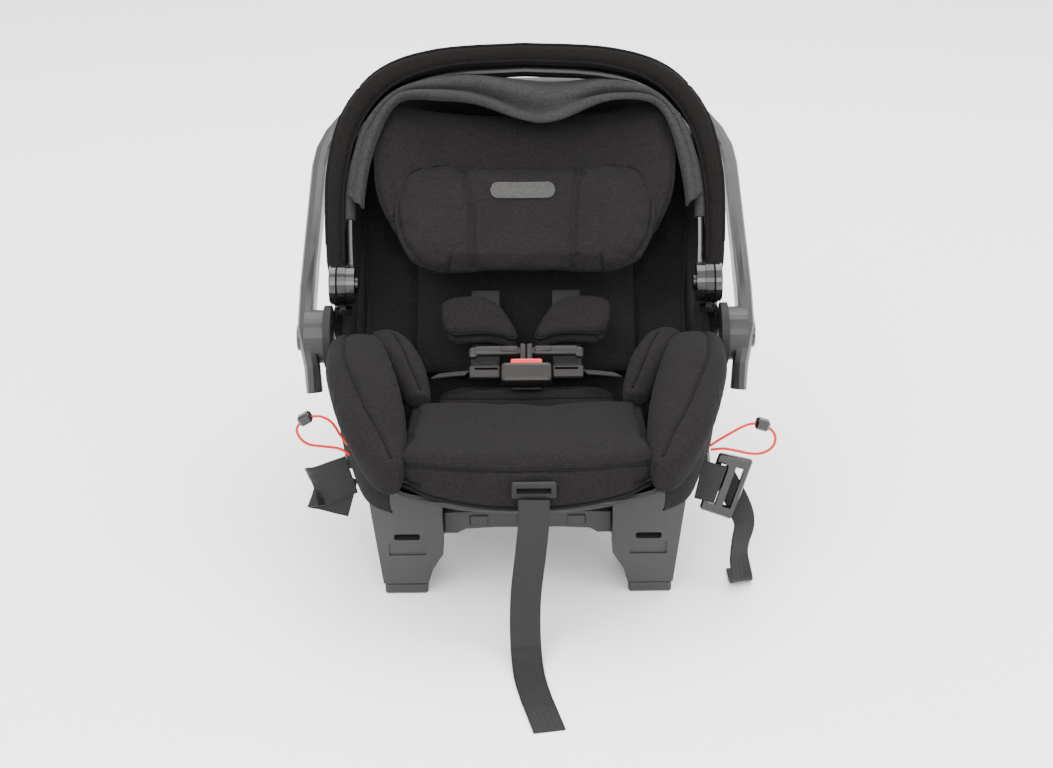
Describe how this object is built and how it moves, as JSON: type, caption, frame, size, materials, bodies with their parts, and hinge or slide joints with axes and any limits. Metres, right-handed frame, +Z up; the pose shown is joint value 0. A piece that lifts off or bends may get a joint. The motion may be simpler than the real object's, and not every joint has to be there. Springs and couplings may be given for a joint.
{
  "type": "infant car seat",
  "caption": "Rear-facing infant carrier with carry handle, folding canopy and harness, latched on a stay-in-car base.",
  "frame": {"origin": "centre of the footprint, on the surface that the base stands on, free straps left out", "axes": "+Z up, +Y toward the head end, +X to the right when seen from the foot end"},
  "size_m": [0.4473, 0.7251, 0.4504],
  "materials": {
    "base_plastic": "fine-grained moulded grey plastic",
    "handle_plastic": "satin moulded grey plastic",
    "hub_plastic": "glossy dark grey plastic",
    "black_plastic": "black moulded plastic",
    "buckle_plastic": "brown-grey moulded plastic",
    "shell_plastic": "textured dark plastic",
    "foam": "moulded bead foam",
    "cover_fabric": "charcoal knit",
    "canopy_fabric": "dark woven cloth",
    "visor_fabric": "grey melange cloth",
    "webbing": "herringbone webbing",
    "red_plastic": "red push button",
    "red_cord": "red braided cord",
    "steel": "plated steel"
  },
  "bodies": {
    "base": {"base_shell": "base_plastic", "front_lock_rod": "steel", "rear_lock_rod": "steel", "anchor_belt_left": "webbing", "anchor_belt_right": "webbing", "belt_adjuster_frame": "black_plastic", "anchor_belt_tail": "webbing", "pull_cord_left": "red_cord", "pull_cord_right": "red_cord", "cord_lock_left": "black_plastic", "cord_lock_right": "black_plastic"},
    "recline_foot": {"recline_foot": "base_plastic"},
    "carrier": {"outer_shell": "shell_plastic", "foam_liner": "foam", "hub_core_left": "black_plastic", "hub_core_right": "black_plastic", "release_guide": "shell_plastic", "release_spring": "steel", "crotch_strap": "webbing", "buckle_housing": "buckle_plastic", "chest_pad_left": "cover_fabric", "chest_pad_right": "cover_fabric", "chest_clip_right": "buckle_plastic", "shoulder_strap_left": "webbing", "shoulder_strap_right": "webbing", "lap_strap_left": "webbing", "lap_strap_right": "webbing", "adjuster_body": "steel", "strap_bezel": "black_plastic", "adjuster_strap": "webbing", "seat_pad": "cover_fabric", "insert_seat": "cover_fabric", "insert_bolster_left": "cover_fabric", "insert_bolster_right": "cover_fabric", "side_bolster_left": "cover_fabric", "side_bolster_right": "cover_fabric", "back_pad": "cover_fabric", "canopy_cover_rear": "canopy_fabric"},
    "handle": {"carry_handle": "handle_plastic"},
    "handle_button_left": {"handle_button_left": "black_plastic"},
    "handle_button_right": {"handle_button_right": "black_plastic"},
    "canopy_rim": {"canopy_rim": "canopy_fabric", "hub_outer_left": "hub_plastic", "hub_outer_right": "hub_plastic"},
    "canopy_middle": {"middle_bow": "hub_plastic", "canopy_cover_front": "canopy_fabric"},
    "visor": {"visor_bow": "hub_plastic", "visor_band": "visor_fabric"},
    "headrest": {"headrest_shell": "shell_plastic", "headrest_pad": "cover_fabric", "head_pillow": "cover_fabric"},
    "release_handle": {"release_handle": "handle_plastic"},
    "claw_front": {"latch_claw_front": "steel"},
    "claw_rear": {"latch_claw_rear": "steel"},
    "buckle_button": {"buckle_button": "red_plastic"},
    "tongue_left": {"buckle_tongue_left": "buckle_plastic"},
    "tongue_right": {"buckle_tongue_right": "buckle_plastic"},
    "chest_clip_left": {"chest_clip_left": "buckle_plastic"},
    "adjuster_lever": {"adjuster_lever": "black_plastic"}
  },
  "joints": [
    {"name": "carrier_lift", "type": "slide", "parent": "base", "child": "carrier", "axis": [0, 0, 1], "range_m": [0, 0.12]},
    {"name": "recline_foot_slide", "type": "slide", "parent": "base", "child": "recline_foot", "axis": [0, 0, -1], "range_m": [0, 0.04]},
    {"name": "handle_swing", "type": "hinge", "parent": "carrier", "child": "handle", "pos_m": [0, -0.03218, 0.197], "axis": [1, 0, 0], "range_deg": [0, 75]},
    {"name": "handle_button_left_press", "type": "slide", "parent": "handle", "child": "handle_button_left", "axis": [1, 0, 0], "range_m": [0, 0.004], "stiffness_N_per_m": 600},
    {"name": "handle_button_right_press", "type": "slide", "parent": "handle", "child": "handle_button_right", "axis": [-1, 0, 0], "range_m": [0, 0.004], "stiffness_N_per_m": 600},
    {"name": "canopy_swing", "type": "hinge", "parent": "carrier", "child": "canopy_rim", "pos_m": [0, -0.00218, 0.2395], "axis": [1, 0, 0], "range_deg": [0, 75]},
    {"name": "canopy_middle_swing", "type": "hinge", "parent": "carrier", "child": "canopy_middle", "pos_m": [0, -0.00218, 0.2395], "axis": [1, 0, 0], "range_deg": [0, 38]},
    {"name": "visor_flip", "type": "hinge", "parent": "canopy_rim", "child": "visor", "pos_m": [0, -0.00218, 0.2395], "axis": [1, 0, 0], "range_deg": [0, 30]},
    {"name": "headrest_height", "type": "slide", "parent": "carrier", "child": "headrest", "axis": [0, 0.7071, 0.7071], "range_m": [0, 0.02]},
    {"name": "release_squeeze", "type": "slide", "parent": "carrier", "child": "release_handle", "axis": [0, -0.7071, -0.7071], "range_m": [0, 0.012], "stiffness_N_per_m": 500, "deforming": ["release_spring"]},
    {"name": "claw_front_turn", "type": "hinge", "parent": "carrier", "child": "claw_front", "pos_m": [0, -0.11218, 0.083], "axis": [1, 0, 0], "range_deg": [0, 50]},
    {"name": "claw_rear_turn", "type": "hinge", "parent": "carrier", "child": "claw_rear", "pos_m": [0, -0.00418, 0.083], "axis": [1, 0, 0], "range_deg": [0, 50]},
    {"name": "buckle_button_press", "type": "slide", "parent": "carrier", "child": "buckle_button", "axis": [0, -0.7071, -0.7071], "range_m": [0, 0.004], "stiffness_N_per_m": 400},
    {"name": "tongue_left_pull", "type": "slide", "parent": "carrier", "child": "tongue_left", "axis": [0, 0.7071, 0.7071], "range_m": [0, 0.02]},
    {"name": "tongue_right_pull", "type": "slide", "parent": "carrier", "child": "tongue_right", "axis": [0, 0.7071, 0.7071], "range_m": [0, 0.02]},
    {"name": "chest_clip_pull", "type": "slide", "parent": "carrier", "child": "chest_clip_left", "axis": [-1, 0, 0], "range_m": [0, 0.015]},
    {"name": "adjuster_lever_lift", "type": "hinge", "parent": "carrier", "child": "adjuster_lever", "pos_m": [0, -0.23368, 0.1293], "axis": [1, 0, 0], "range_deg": [0, 12], "stiffness_Nm_per_rad": 0.08}
  ],
  "couplings": [
    {"joint": "canopy_middle_swing", "follows": "canopy_swing", "ratio": 0.5},
    {"joint": "claw_front_turn", "follows": "release_squeeze", "rad_per_m": 72},
    {"joint": "claw_rear_turn", "follows": "release_squeeze", "rad_per_m": 72}
  ]
}
